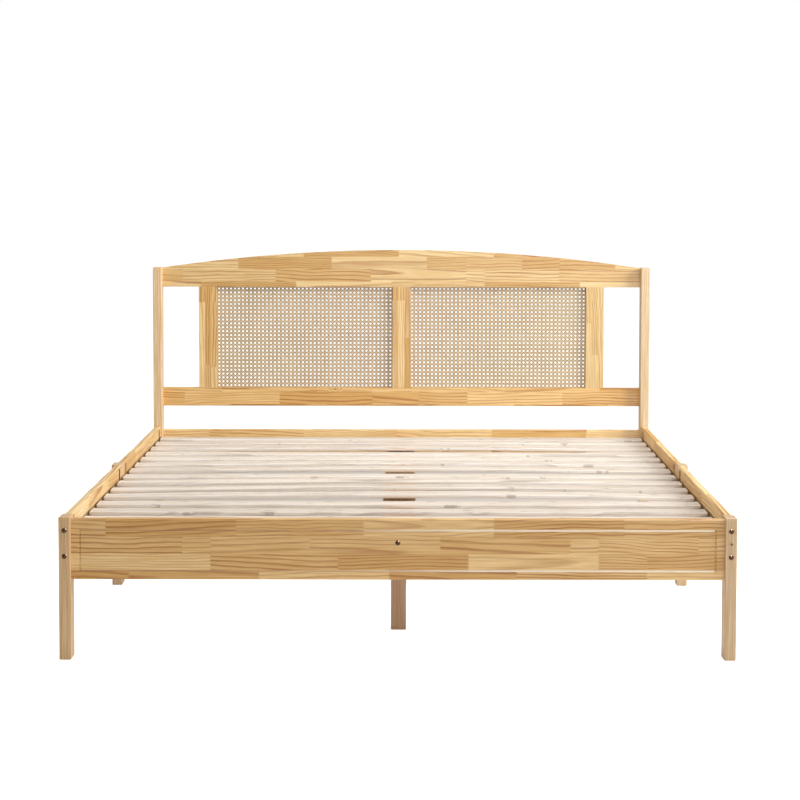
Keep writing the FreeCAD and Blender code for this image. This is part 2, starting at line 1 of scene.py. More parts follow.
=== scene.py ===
# Finishes, woven cane and studio stage for a king size platform bed of solid pine.
# Metres. The origin is on the floor under the middle of the bed, the foot end is at -Y and +Z is up.
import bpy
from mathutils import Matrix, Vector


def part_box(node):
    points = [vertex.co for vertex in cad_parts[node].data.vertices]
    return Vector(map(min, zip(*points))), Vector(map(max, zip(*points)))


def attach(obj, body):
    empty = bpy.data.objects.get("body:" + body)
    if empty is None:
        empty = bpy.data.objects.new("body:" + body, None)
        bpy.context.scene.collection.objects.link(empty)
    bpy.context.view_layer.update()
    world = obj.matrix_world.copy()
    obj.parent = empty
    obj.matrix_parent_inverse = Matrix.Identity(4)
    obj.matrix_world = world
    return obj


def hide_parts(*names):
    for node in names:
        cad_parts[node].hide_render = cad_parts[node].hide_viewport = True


bl_info = {
    "name": "Pine and cane bed",
    "version": (1, 0, 0),
    "blender": (4, 5, 0),
    "location": "3D View > Sidebar > Pine Bed",
    "description": "Dresses a pine platform bed with stave-built wood, woven cane and bronze bolts",
    "category": "Object",
}

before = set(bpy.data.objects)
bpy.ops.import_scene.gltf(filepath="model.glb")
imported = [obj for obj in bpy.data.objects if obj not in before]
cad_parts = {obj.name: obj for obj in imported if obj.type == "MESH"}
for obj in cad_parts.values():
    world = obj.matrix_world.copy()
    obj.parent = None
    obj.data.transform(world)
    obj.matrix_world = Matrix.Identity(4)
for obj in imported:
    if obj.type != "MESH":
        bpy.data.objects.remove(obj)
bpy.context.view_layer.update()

import math
import random

import bmesh
import bpy
from bpy.props import FloatProperty, FloatVectorProperty, PointerProperty
from mathutils import Vector

BODY = "root"
AXES = "XYZ"

# Tones that a stave can have, from the palest wood to the reddest
PALE = 0.1
STRAW = 0.35
HONEY = 0.6
AMBER = 0.85

# Staves listed one by one: each course has the place of one of its joints, and its tones in order. In a rail
# the courses go from the bottom up and the tones from left to right, and in a stile the other way round.
FOOTBOARD_COURSES = (
    (-0.029, (AMBER, HONEY, PALE, AMBER, HONEY, PALE)),
    (-0.175, (PALE, PALE, HONEY, AMBER, PALE, HONEY)),
    (0.125, (HONEY, STRAW, STRAW, HONEY, STRAW, STRAW)),
    (-0.100, (STRAW, AMBER, HONEY, STRAW, AMBER, HONEY)),
)
TOP_RAIL_COURSES = (
    (-0.045, (STRAW, AMBER, PALE, STRAW, AMBER, PALE)),
    (-0.126, (HONEY, STRAW, HONEY, STRAW, STRAW, HONEY)),
    (0.102, (STRAW, AMBER, PALE, HONEY, AMBER, PALE)),
    (-0.012, (HONEY, STRAW, AMBER, PALE, AMBER, STRAW)),
)
LOWER_RAIL_COURSES = (
    (0.075, (HONEY, AMBER, AMBER, STRAW, AMBER, STRAW)),
    (-0.116, (HONEY, STRAW, AMBER, HONEY, STRAW, HONEY)),
    (0.040, (STRAW, HONEY, STRAW, STRAW, HONEY, AMBER)),
)
STILE_COURSES = {
    "left": ((0.932, (PALE, AMBER)), (0.676, (HONEY, AMBER)), (0.668, (STRAW, HONEY))),
    "centre": ((0.941, (STRAW, AMBER)), (0.941, (PALE, HONEY)), (0.789, (AMBER, STRAW))),
    "right": ((0.850, (PALE, STRAW)), (0.720, (PALE, STRAW)), (0.910, (STRAW, PALE))),
}
HEAD_END_RAIL_COURSES = (
    (-0.016, (HONEY, HONEY, STRAW, STRAW, AMBER, STRAW)),
    (-0.016, (HONEY, HONEY, STRAW, STRAW, AMBER, STRAW)),
    (-0.016, (STRAW, HONEY, STRAW, STRAW, AMBER, STRAW)),
)

# Heights at which two courses meet
FOOTBOARD_EDGE = 0.317
TOP_RAIL_EDGE = 1.0145
LOWER_RAIL_EDGE = 0.5645
HEAD_END_RAIL_EDGE = 0.357

# Boards without staves listed one by one: how far one joint of a course can lie from the bed's middle
JOINT_SPREAD = 0.19

# Boards and posts that are paler, darker or redder than the rest: partly the wood's own tone and partly
# painted light and shade, which makes up for how much light falls on each part
TONE_AND_LIGHT_TINTS = {
    "footboard_panel": (1.02, 0.92, 0.78),
    "headboard_top_rail": (0.975, 0.955, 0.90),
    "headboard_lower_rail": (1.11, 1.04, 0.91),
    "head_end_rail": (1.18, 1.18, 1.18),
    "headboard_stile_left": (1.06, 1.03, 0.96),
    "headboard_stile_centre": (1.06, 1.05, 1.01),
    "headboard_stile_right": (0.94, 0.92, 0.83),
    "head_post_left": (1.21, 1.22, 1.22),
    "head_post_right": (1.09, 1.15, 1.19),
    "foot_post_left": (1.045, 0.98, 0.85),
    "foot_post_right": (0.975, 0.955, 0.92),
    "centre_beam": (1.40, 1.42, 1.42),
    "centre_leg_front": (1.10, 1.09, 1.07),
    "side_rail_right_front": (1.21, 1.19, 1.16),
    "side_rail_right_rear": (1.21, 1.19, 1.16),
}
NO_TINT = (1.0, 1.0, 1.0)

# Slats that have sprung upward: the rise at the crown, and how far the crown is to the right of the middle
SLAT_BOWS = {
    "slat_05": (0.0100, 0.22),
    "slat_06": (0.0105, 0.15),
    "slat_07": (0.0095, 0.05),
    "slat_08": (0.0030, 0.00),
    "slat_09": (0.0115, 0.00),
    "slat_10": (0.0090, 0.10),
    "slat_11": (0.0035, 0.00),
    "slat_13": (0.0075, 0.30),
    "slat_14": (0.0060, 0.20),
}

BOW_STEP = 0.06  # between the cuts along a sprung slat
SLAT_SHARP_ANGLE = math.radians(35.0)

# Least and greatest tone and line strength of a post and of a slat, and line strength of a stave
POST_TONES = (0.2, 0.7)
POST_LINES = (0.5, 0.8)
SLAT_TONES = (0.1, 0.7)
SLAT_LINES = (0.45, 0.9)
STAVE_LINES = 0.4
STAVE_LINES_PER_TONE = 0.8
STAVE_LINES_SPREAD = (-0.1, 0.2)

# How fast each noise, and the cells for knots, change along, across and from one stave to the next
WANDER_GRAIN = (2.2, 8.0, 57.0)
RIPPLE_GRAIN = (9.0, 30.0, 91.0)
FADE_GRAIN = (5.0, 25.0, 13.0)
BLOTCH_GRAIN = (6.0, 22.0, 71.0)
STAIN_GRAIN = (15.0, 110.0, 17.0)
KNOT_GRAIN = (4.2, 4.2, 31.0)

# The same along, across and through the wood
FIBRE_GRAIN = (5.0, 270.0, 270.0)
HAIR_GRAIN = (25.0, 1100.0, 1100.0)
FINE_DETAIL = 3.0

# Pith of a stave: its spread to the sides, its depth, and how it leans, wanders and ripples along the stave
PITH_SPREAD = 0.26
PITH_DEPTHS = (0.018, 0.068)
PITH_LEAN = 0.07
PITH_TAPER = 0.06
WANDER = 0.045
RIPPLE = 0.009

# Rings: their width against the usual one, where in a ring the late wood darkens and stops, how strong one
# ring's line is against another's, and how far a line fades in places
RING_WIDTHS = (0.6, 1.4)
LATE_RISE = (0.45, 0.85)
LATE_STOP = (0.9, 1.0)
RING_LINES = (0.65, 1.0)
FADE_RANGE = (0.3, 0.6)
FADED_LINE = 0.65

# Knots: the share of cells without one, how far and how much rings swell round one, and its colour's share
KNOTLESS = 0.6
KNOT_REACH = 0.035
KNOT_SWELL = 0.018
KNOT_SHARE = 0.75

# Contrast of hairs, blotches and staves, and how much each colour follows the fibres
HAIR = 0.4
BLOTCH = 0.5
STAVE_SPREAD = 0.2
FIBRE_PULLS = {"Red": 0.45, "Green": 0.8, "Blue": 1.5}

# Stains of the slats and painted light on their upright edges: where each starts and is full, and its
# greatest share
STAIN_RANGE = (0.645, 0.68)
STAIN_SHARE = 0.95
EDGE_LIGHT_TURN = (0.5, 0.9)
EDGE_LIGHT_SHARE = 0.4

# Surface of the wood
WOOD_ROUGHNESS = 0.5
LATE_POLISH = -0.1
RELIEF = 0.5
BUMP_STRENGTH = 0.12
BUMP_DISTANCE = 0.0006
COAT_ROUGHNESS = 0.35

# Painted highlight where light catches the groove: the share of the half width in which it fades, and its
# shares at left and right, more to the right where the light comes from
GROOVE_FADE = 0.3
GROOVE_HIGHLIGHT_SHARES = (0.12, 0.9)

# Painted shade: the wood round the nut slots, how far from a rail's foot end its slots stay pale, where the
# painted shade on a ledger starts and is full inside its outer edge, and its share on a rail by the slats'
# ends
SLOT_MARGIN = 0.007
FOOT_SLOT = 0.1
GAP_SHADE_START = 0.014
GAP_SHADE_FULL = 0.012
BAND_SHARE = 0.65

# Cane: a slanting strand's wave in strand thicknesses, and the noises, contrasts and roughness of its skin
DIAGONAL_LIFT = 1.08
CANE_STREAK_SCALE = 160.0
CANE_PATCH_SCALE = 9.0
CANE_TONE = 0.5
CANE_STREAK = 0.5
CANE_PATCH = 0.4
CANE_ROUGHNESS = (0.35, 0.6)

# Plating: its mottling, and how dark and how rough the mottling makes it
MOTTLE_SCALE = 900.0
MOTTLE_DARK = 0.6
MOTTLE_ROUGHNESS = 0.2

# Numbers that keep one set of random draws apart from another
DRAW_STRIDE = 977.0
PITH_DRAWS = 0.13
RING_DRAWS = 0.57
LINE_DRAWS = 0.31
SLAT_DRAWS = 0.21

COURSE_TOLERANCE = 1e-4
WELD_DISTANCE = 1e-6
FLOOR_REACH = 40.0
FLOOR_ROUGHNESS = 0.9
WHITE = (1.0, 1.0, 1.0, 1.0)


def colour_property(name, description, default):
    return FloatVectorProperty(
        name=name, description=description, subtype="COLOR", size=4, min=0.0, max=1.0, default=default
    )


def length_property(name, description, default):
    return FloatProperty(name=name, description=description, unit="LENGTH", min=0.0, default=default)


def place_property(name, description, default):
    return FloatVectorProperty(name=name, description=description, subtype="TRANSLATION", default=default)


def factor_property(name, description, default):
    return FloatProperty(
        name=name, description=description, subtype="FACTOR", min=0.0, max=1.0, default=default
    )


def power_property(name, description, default):
    return FloatProperty(name=name, description=description, unit="POWER", min=0.0, default=default)


def angle_property(name, description, degrees):
    return FloatProperty(name=name, description=description, unit="ROTATION", default=math.radians(degrees))


class PineFinish(bpy.types.PropertyGroup):
    """Clear-finished pine of the boards, glued up from staves."""

    pale: colour_property("Pale wood", "Colour of the palest staves", (0.775, 0.567, 0.278, 1.0))
    honey: colour_property("Honey wood", "Colour of the reddest staves", (0.590, 0.352, 0.105, 1.0))
    line: colour_property("Grain lines", "Colour of the late wood in each ring", (0.37, 0.135, 0.012, 1.0))
    knot: colour_property("Knots", "Colour of small knots", (0.17, 0.07, 0.025, 1.0))
    stave_length: length_property("Stave length", "From one finger joint to the next", 0.384)
    course_height: length_property("Course height", "Width of the staves that are glued edge to edge", 0.0505)
    finger_length: length_property("Finger length", "Length of the fingers at a stave's end", 0.006)
    finger_pitch: length_property("Finger pitch", "From one finger to the next", 0.005)
    ring_spacing: length_property("Ring spacing", "Usual width of a ring", 0.010)
    # Painted highlight in the groove: its colour, and the depths at which it starts and stops
    groove: colour_property("Groove", "Colour of the bare wood in the groove", (1.00, 0.92, 0.78, 1.0))
    # The same skin depth also starts the painted shade in the nut slots and beside the slats' ends
    groove_skin: length_property("Groove skin", "Depth at which a cut's own colour starts", 0.0003)
    groove_depth: length_property("Groove depth", "Depth at which the groove's own colour stops", 0.004)
    groove_end: length_property("Groove end", "From the footboard's ends to the groove's level runs", 0.030)
    groove_edge: length_property("Groove edge", "Least distance of the groove from the long edges", 0.010)
    # Painted shade: the colour painted into the nut slots, on the ledgers' outer edges and beside the slats'
    # ends
    slot: colour_property(
        "Slots", "Colour of the nut slots and of the shade at the slats' ends", (0.10, 0.05, 0.02, 1.0)
    )
    fibre: FloatProperty(name="Fibre", description="Contrast of the fine fibres", default=1.3)
    knot_size: length_property("Knot size", "Least radius of a knot", 0.003)
    coat: factor_property("Varnish", "Strength of the satin varnish", 0.2)


class PostFinish(bpy.types.PropertyGroup):
    """Clear-finished pine of the posts and legs, each from one length."""

    pale: colour_property("Pale wood", "Colour of the palest posts", (0.66, 0.475, 0.28, 1.0))
    honey: colour_property("Warm wood", "Colour of the warmest posts", (0.57, 0.385, 0.205, 1.0))
    line: colour_property("Grain lines", "Colour of the late wood in each ring", (0.42, 0.25, 0.11, 1.0))
    knot: colour_property("Knots", "Colour of small knots", (0.17, 0.07, 0.025, 1.0))
    ring_spacing: length_property("Ring spacing", "Usual width of a ring", 0.007)
    fibre: FloatProperty(name="Fibre", description="Contrast of the fine fibres", default=1.3)
    knot_size: length_property("Knot size", "Least radius of a knot", 0.0015)
    coat: factor_property("Varnish", "Strength of the satin varnish", 0.2)


class BeamFinish(bpy.types.PropertyGroup):
    """Darker, browner pine of the centre beam, its legs and the slats' ledgers: painted shade of parts under
    the bed.
    """

    pale: colour_property("Pale wood", "Colour of the palest wood", (0.51, 0.337, 0.214, 1.0))
    honey: colour_property("Warm wood", "Colour of the warmest wood", (0.44, 0.273, 0.156, 1.0))
    line: colour_property("Grain lines", "Colour of the late wood in each ring", (0.325, 0.178, 0.084, 1.0))
    knot: colour_property("Knots", "Colour of small knots", (0.17, 0.07, 0.025, 1.0))
    ring_spacing: length_property("Ring spacing", "Usual width of a ring", 0.007)
    fibre: FloatProperty(name="Fibre", description="Contrast of the fine fibres", default=1.3)
    knot_size: length_property("Knot size", "Least radius of a knot", 0.0015)
    coat: factor_property("Varnish", "Strength of the satin varnish", 0.1)


class SlatFinish(bpy.types.PropertyGroup):
    """Bare pale pine of the slats."""

    pale: colour_property("Pale wood", "Colour of the palest slats", (0.79, 0.71, 0.62, 1.0))
    honey: colour_property("Warm wood", "Colour of the warmest slats", (0.70, 0.60, 0.50, 1.0))
    # Painted light: the paler colour on the slats' upright long edges, which lifts their shaded front faces
    edge: colour_property("Edges", "Colour of the fresh-sawn edges", (0.98, 0.91, 0.83, 1.0))
    line: colour_property("Grain lines", "Colour of the grain streaks", (0.25, 0.18, 0.13, 1.0))
    knot: colour_property("Knots", "Colour of small knots", (0.10, 0.065, 0.045, 1.0))
    ring_spacing: length_property("Ring spacing", "Usual width of a ring", 0.014)
    fibre: FloatProperty(name="Fibre", description="Contrast of the fine fibres", default=1.0)
    knot_size: length_property("Knot size", "Least radius of a knot", 0.006)
    coat: factor_property("Varnish", "Strength of the satin varnish", 0.0)


class CaneWeave(bpy.types.PropertyGroup):
    """Six-way woven cane of the headboard panels."""

    hole_pitch: length_property("Hole pitch", "From one hole to the next", 0.0161)
    strand_width: length_property("Strand width", "Width of an upright or level strand", 0.0041)
    pair_gap: length_property("Pair gap", "Gap between the two strands of a pair", 0.0006)
    diagonal_width: length_property("Diagonal width", "Width of a slanting strand", 0.0036)
    thickness: length_property("Strand thickness", "Thickness of a strand at its crown", 0.0006)
    margin: length_property("Margin", "How far the strands run into the rebate", 0.008)
    pale: colour_property("Pale strand", "Colour of the palest strands", (0.88, 0.69, 0.44, 1.0))
    dark: colour_property("Dark strand", "Colour of the darkest strands", (0.55, 0.385, 0.23, 1.0))
    # Painted shade where the slanting strands cross the pairs
    nip: colour_property("Nip", "Tint where the slanting strands cross a pair", (0.50, 0.47, 0.42, 1.0))


class MetalFinish(bpy.types.PropertyGroup):
    """Bolts, nuts and screws."""

    bronze: colour_property("Bronze", "Plating of the bolts and half moon nuts", (0.13, 0.075, 0.045, 1.0))
    bronze_roughness: factor_property("Bronze roughness", "Least roughness of the bronze plating", 0.15)
    zinc: colour_property("Zinc", "Plating of the inner fasteners", (0.55, 0.56, 0.57, 1.0))
    zinc_roughness: factor_property("Zinc roughness", "Least roughness of the zinc plating", 0.35)


class StageLook(bpy.types.PropertyGroup):
    """Floor, light and camera."""

    floor: colour_property("Floor", "Colour of the floor", (0.92, 0.92, 0.92, 1.0))
    floor_glow: FloatProperty(name="Floor glow", description="Keeps the floor pale in shadow", default=0.7)
    shadow_place: place_property("Shadow place", "Middle of the shaded floor", (0.0, 1.95, 0.0))
    shadow_width: length_property("Shadow width", "Half width of the shaded floor", 1.40)
    shadow_length: length_property("Shadow length", "Half length of the shaded floor", 1.05)
    shadow_edge: length_property("Shadow edge", "Width of the shaded floor's soft edge", 0.2)
    shadow: colour_property("Shadow", "Colour of the shaded floor", (0.64, 0.58, 0.52, 1.0))
    fill: FloatProperty(name="Fill light", description="Strength of the light from all round", default=0.45)
    light_target: place_property("Light target", "Point that the lights face", (0.0, 0.3, 0.5))
    key_power: power_property("Key light", "Power of the soft light at the right", 480.0)
    key_size: length_property("Key size", "Side of the square soft light", 2.8)
    key_place: place_property("Key place", "Where the soft light stands", (6.4, -1.5, 3.2))
    top_power: power_property("Top light", "Power of the soft light overhead", 62.0)
    top_size: length_property("Top size", "Side of the square light overhead", 3.0)
    top_place: place_property("Top place", "Where the overhead light hangs", (0.0, 0.2, 3.2))
    glint_power: power_property("Glint", "Power of the light that only glossy surfaces show", 300.0)
    glint_size: length_property("Glint size", "Side of the square light for glints", 1.3)
    glint_place: place_property("Glint place", "Where the light for glints stands", (1.55, -3.65, 2.8))
    camera_place: place_property("Camera place", "Where the camera stands", (0.0341, -6.5271, 1.4186))
    camera_tilt: angle_property("Camera tilt", "How far the camera looks down", 3.3)
    camera_roll: angle_property("Camera roll", "How far the camera leans to its left", 0.1)
    camera_shift: FloatVectorProperty(
        name="Camera shift", description="How far the picture moves across and up, in its own widths", size=2,
        default=(-0.0125, -0.138),
    )
    focal_length: FloatProperty(
        name="Focal length", description="Of the lens, in millimetres", unit="CAMERA", default=83.92
    )


class BedLooks(bpy.types.PropertyGroup):
    """Everything that a user can set."""

    pine: PointerProperty(type=PineFinish)
    posts: PointerProperty(type=PostFinish)
    beam: PointerProperty(type=BeamFinish)
    slats: PointerProperty(type=SlatFinish)
    cane: PointerProperty(type=CaneWeave)
    metal: PointerProperty(type=MetalFinish)
    stage: PointerProperty(type=StageLook)


class Wiring:
    """Adds nodes to one node tree and links them."""

    def __init__(self, tree):
        self.tree = tree

    def feed(self, socket, value):
        if isinstance(value, bpy.types.NodeSocket):
            self.tree.links.new(value, socket)
        else:
            socket.default_value = value

    def put(self, kind, inputs=(), **settings):
        node = self.tree.nodes.new(kind)
        for name, value in settings.items():
            setattr(node, name, value)
        for name, value in dict(inputs).items():
            self.feed(node.inputs[name], value)
        return node

    def maths(self, operation, *values):
        node = self.put("ShaderNodeMath", operation=operation)
        for socket, value in zip(node.inputs, values):
            self.feed(socket, value)
        return node.outputs["Value"]

    def plus(self, first, second):
        return self.maths("ADD", first, second)

    def minus(self, first, second):
        return self.maths("SUBTRACT", first, second)

    def times(self, first, second):
        return self.maths("MULTIPLY", first, second)

    def step(self, value, low, high, start=0.0, end=1.0):
        """A smooth rise from start to end while value goes from low to high."""
        inputs = {"Value": value, "From Min": low, "From Max": high, "To Min": start, "To Max": end}
        return self.put("ShaderNodeMapRange", inputs, interpolation_type="SMOOTHSTEP").outputs["Result"]

    def vector(self, x, y, z):
        return self.put("ShaderNodeCombineXYZ", {"X": x, "Y": y, "Z": z}).outputs["Vector"]

    def scaled(self, values, factors):
        """A vector of values, each times its own factor."""
        return self.vector(*(self.times(value, factor) for value, factor in zip(values, factors)))

    def place(self):
        """A point's place in its object's own axes."""
        return self.put("ShaderNodeTexCoord").outputs["Object"]

    def noise(self, vector, detail=2.0, scale=1.0):
        inputs = {"Vector": vector, "Scale": scale, "Detail": detail}
        return self.put("ShaderNodeTexNoise", inputs).outputs["Fac"]

    def ranged(self, value, least, most):
        """A random number or noise from 0 to 1, moved to lie between two limits."""
        return self.maths("MULTIPLY_ADD", value, most - least, least)

    def centred(self, value, width):
        """A random number or noise from 0 to 1, moved to lie about zero with that width."""
        return self.times(self.minus(value, 0.5), width)

    def draws(self, seed, offset):
        """Three random numbers from a seed."""
        place = self.maths("MULTIPLY_ADD", seed, DRAW_STRIDE, offset)
        node = self.put("ShaderNodeTexWhiteNoise", {"W": place}, noise_dimensions="1D")
        split = self.put("ShaderNodeSeparateColor", {"Color": node.outputs["Color"]})
        return [split.outputs[name] for name in ("Red", "Green", "Blue")]

    def blend(self, factor, first, second, blend_type="MIX"):
        node = self.put("ShaderNodeMix", data_type="RGBA", blend_type=blend_type)
        for index, value in ((0, factor), (6, first), (7, second)):
            self.feed(node.inputs[index], value)
        return node.outputs[2]


def wood_figure():
    """The node group for wood: rings about a pith that leans along the stave, knots, fibres and blotches."""
    group = bpy.data.node_groups.get("wood_figure")
    if group:
        return group
    group = bpy.data.node_groups.new("wood_figure", "ShaderNodeTree")
    for name in ("Along", "Across", "Through", "Height", "Streak", "Fibre", "Ring spacing", "Knot size"):
        group.interface.new_socket(name=name, in_out="INPUT", socket_type="NodeSocketFloat")
    for name in ("Stave", "Pale", "Honey", "Line", "Knot"):
        group.interface.new_socket(name=name, in_out="INPUT", socket_type="NodeSocketColor")
    group.interface.new_socket(name="Color", in_out="OUTPUT", socket_type="NodeSocketColor")
    for name in ("Roughness", "Relief"):
        group.interface.new_socket(name=name, in_out="OUTPUT", socket_type="NodeSocketFloat")
    wires = Wiring(group)
    given = wires.put("NodeGroupInput").outputs
    along, across, through, height = (given[name] for name in ("Along", "Across", "Through", "Height"))
    stave = wires.put("ShaderNodeSeparateColor", {"Color": given["Stave"]}).outputs
    tone, seed, strength = (stave[name] for name in ("Red", "Green", "Blue"))
    place_draw, depth_draw, lean_draw = wires.draws(seed, PITH_DRAWS)
    taper_draw, ring_draw, blotch_draw = wires.draws(seed, RING_DRAWS)

    # Knots
    cell_place = wires.scaled((along, height, seed), KNOT_GRAIN)
    cell = wires.put("ShaderNodeTexVoronoi", {"Vector": cell_place, "Scale": 1.0})
    cell_draws = wires.put("ShaderNodeSeparateColor", {"Color": cell.outputs["Color"]}).outputs
    there = wires.maths("GREATER_THAN", cell_draws["Red"], KNOTLESS)
    reach = wires.times(cell.outputs["Distance"], 1.0 / KNOT_GRAIN[0])
    swell = wires.times(wires.step(reach, 0.0, KNOT_REACH, 1.0, 0.0), there)
    knot_size = wires.times(given["Knot size"], wires.plus(cell_draws["Green"], 1.0))
    knot = wires.times(wires.maths("LESS_THAN", reach, knot_size), there)

    # Distance from the pith
    wander = wires.noise(wires.scaled((along, across, seed), WANDER_GRAIN))
    ripple = wires.noise(wires.scaled((along, across, seed), RIPPLE_GRAIN))
    side = wires.minus(across, wires.centred(place_draw, PITH_SPREAD))
    side = wires.plus(side, wires.times(along, wires.centred(lean_draw, PITH_LEAN)))
    side = wires.plus(side, wires.centred(wander, WANDER))
    side = wires.plus(side, wires.centred(ripple, RIPPLE))
    depth = wires.plus(through, wires.ranged(depth_draw, *PITH_DEPTHS))
    depth = wires.plus(depth, wires.times(along, wires.centred(taper_draw, PITH_TAPER)))
    radius = wires.put("ShaderNodeVectorMath", {"Vector": wires.vector(side, depth, 0.0)}, operation="LENGTH")
    radius = wires.plus(radius.outputs["Value"], wires.times(swell, KNOT_SWELL))

    # Late wood, which darkens through each ring and stops short
    spacing = wires.times(given["Ring spacing"], wires.ranged(ring_draw, *RING_WIDTHS))
    rings = wires.maths("DIVIDE", radius, spacing)
    part = wires.maths("FRACT", rings)
    late = wires.times(wires.step(part, *LATE_RISE), wires.step(part, *LATE_STOP, 1.0, 0.0))
    ring_seed = wires.plus(wires.maths("FLOOR", rings), seed)
    ring_chance = wires.draws(ring_seed, LINE_DRAWS)[0]
    late = wires.times(late, wires.ranged(ring_chance, *RING_LINES))
    fade = wires.noise(wires.scaled((along, across, seed), FADE_GRAIN))
    late = wires.times(late, wires.step(fade, *FADE_RANGE, FADED_LINE, 1.0))
    late = wires.maths("MAXIMUM", wires.times(late, strength), given["Streak"])

    # Fibres and blotches
    fibre = wires.noise(wires.scaled((along, across, through), FIBRE_GRAIN), FINE_DETAIL)
    hair = wires.noise(wires.scaled((along, across, through), HAIR_GRAIN))
    blotch = wires.noise(wires.scaled((along, across, seed), BLOTCH_GRAIN))
    warmth = wires.plus(tone, wires.centred(blotch, BLOTCH))
    warmth = wires.plus(warmth, wires.centred(blotch_draw, STAVE_SPREAD))
    warmth = wires.step(warmth, 0.0, 1.0)

    shade = wires.blend(warmth, given["Pale"], given["Honey"])
    shade = wires.blend(late, shade, given["Line"])
    texture = wires.plus(wires.centred(fibre, given["Fibre"]), wires.centred(hair, HAIR))
    tint = {name: wires.maths("MULTIPLY_ADD", texture, pull, 1.0) for name, pull in FIBRE_PULLS.items()}
    shade = wires.blend(1.0, shade, wires.put("ShaderNodeCombineColor", tint).outputs["Color"], "MULTIPLY")
    shade = wires.blend(wires.times(knot, KNOT_SHARE), shade, given["Knot"])
    relief = wires.times(wires.minus(hair, late), RELIEF)
    result = wires.put("NodeGroupOutput")
    wires.feed(result.inputs["Color"], shade)
    wires.feed(result.inputs["Roughness"], wires.maths("MULTIPLY_ADD", late, LATE_POLISH, WOOD_ROUGHNESS))
    wires.feed(result.inputs["Relief"], relief)
    return group


def course_ramp(wires, place, starts, staves):
    """A ramp with one plain colour to each stave of a course."""
    node = wires.put("ShaderNodeValToRGB", {"Fac": place})
    ramp = node.color_ramp
    ramp.interpolation = "CONSTANT"
    ramp.elements.remove(ramp.elements[1])
    for number, (start, stave) in enumerate(zip(starts, staves)):
        element = ramp.elements.new(start) if number else ramp.elements[0]
        element.color = stave
    return node.outputs["Color"]


def split_axes(wires, axes):
    """A point's place along, across and through a board, whose axes are named in that order."""
    parts = wires.put("ShaderNodeSeparateXYZ", {"Vector": wires.place()}).outputs
    return [parts[axis] for axis in axes]


def new_material(name):
    material = bpy.data.materials.new(name)
    material.use_nodes = True
    return material, Wiring(material.node_tree)


def shader_of(material):
    return material.node_tree.nodes["Principled BSDF"]


def finish_wood(material, wires, finish, places, stave, streak=0.0):
    """Feeds the wood's figure to the material's own shader.

    The places are along, across, through and, for knots, across the whole board.
    """
    figure = wires.put("ShaderNodeGroup", node_tree=wood_figure())
    for socket, place in zip(("Along", "Across", "Through", "Height"), places):
        wires.feed(figure.inputs[socket], place)
    wires.feed(figure.inputs["Stave"], stave)
    wires.feed(figure.inputs["Streak"], streak)
    figure.inputs["Fibre"].default_value = finish.fibre
    figure.inputs["Ring spacing"].default_value = finish.ring_spacing
    figure.inputs["Knot size"].default_value = finish.knot_size
    # Each board's tint: partly its own tone, partly painted light and shade
    tint = (*TONE_AND_LIGHT_TINTS.get(material.name, NO_TINT), 1.0)
    for socket in ("Pale", "Honey", "Line", "Knot"):
        colour = getattr(finish, socket.lower())
        figure.inputs[socket].default_value = [channel * share for channel, share in zip(colour, tint)]
    shader = shader_of(material)
    bump = wires.put("ShaderNodeBump", {"Height": figure.outputs["Relief"]})
    bump.inputs["Strength"].default_value = BUMP_STRENGTH
    bump.inputs["Distance"].default_value = BUMP_DISTANCE
    wires.feed(shader.inputs["Base Color"], figure.outputs["Color"])
    wires.feed(shader.inputs["Roughness"], figure.outputs["Roughness"])
    wires.feed(shader.inputs["Normal"], bump.outputs["Normal"])
    shader.inputs["Coat Weight"].default_value = finish.coat
    shader.inputs["Coat Roughness"].default_value = COAT_ROUGHNESS
    return material


def random_courses(draw, count):
    """Staves for a board that has none listed one by one."""
    tones = (PALE, STRAW, STRAW, HONEY, HONEY, AMBER)
    return [(draw.uniform(-JOINT_SPREAD, JOINT_SPREAD), draw.sample(tones, len(tones))) for _ in range(count)]


def lay_stave(draw, tone):
    """A stave as a colour: its tone, the seed of its figure, and how strong its ring lines are."""
    seed = draw.random()
    strength = STAVE_LINES + STAVE_LINES_PER_TONE * tone + draw.uniform(*STAVE_LINES_SPREAD)
    return tone, seed, min(1.0, strength), 1.0


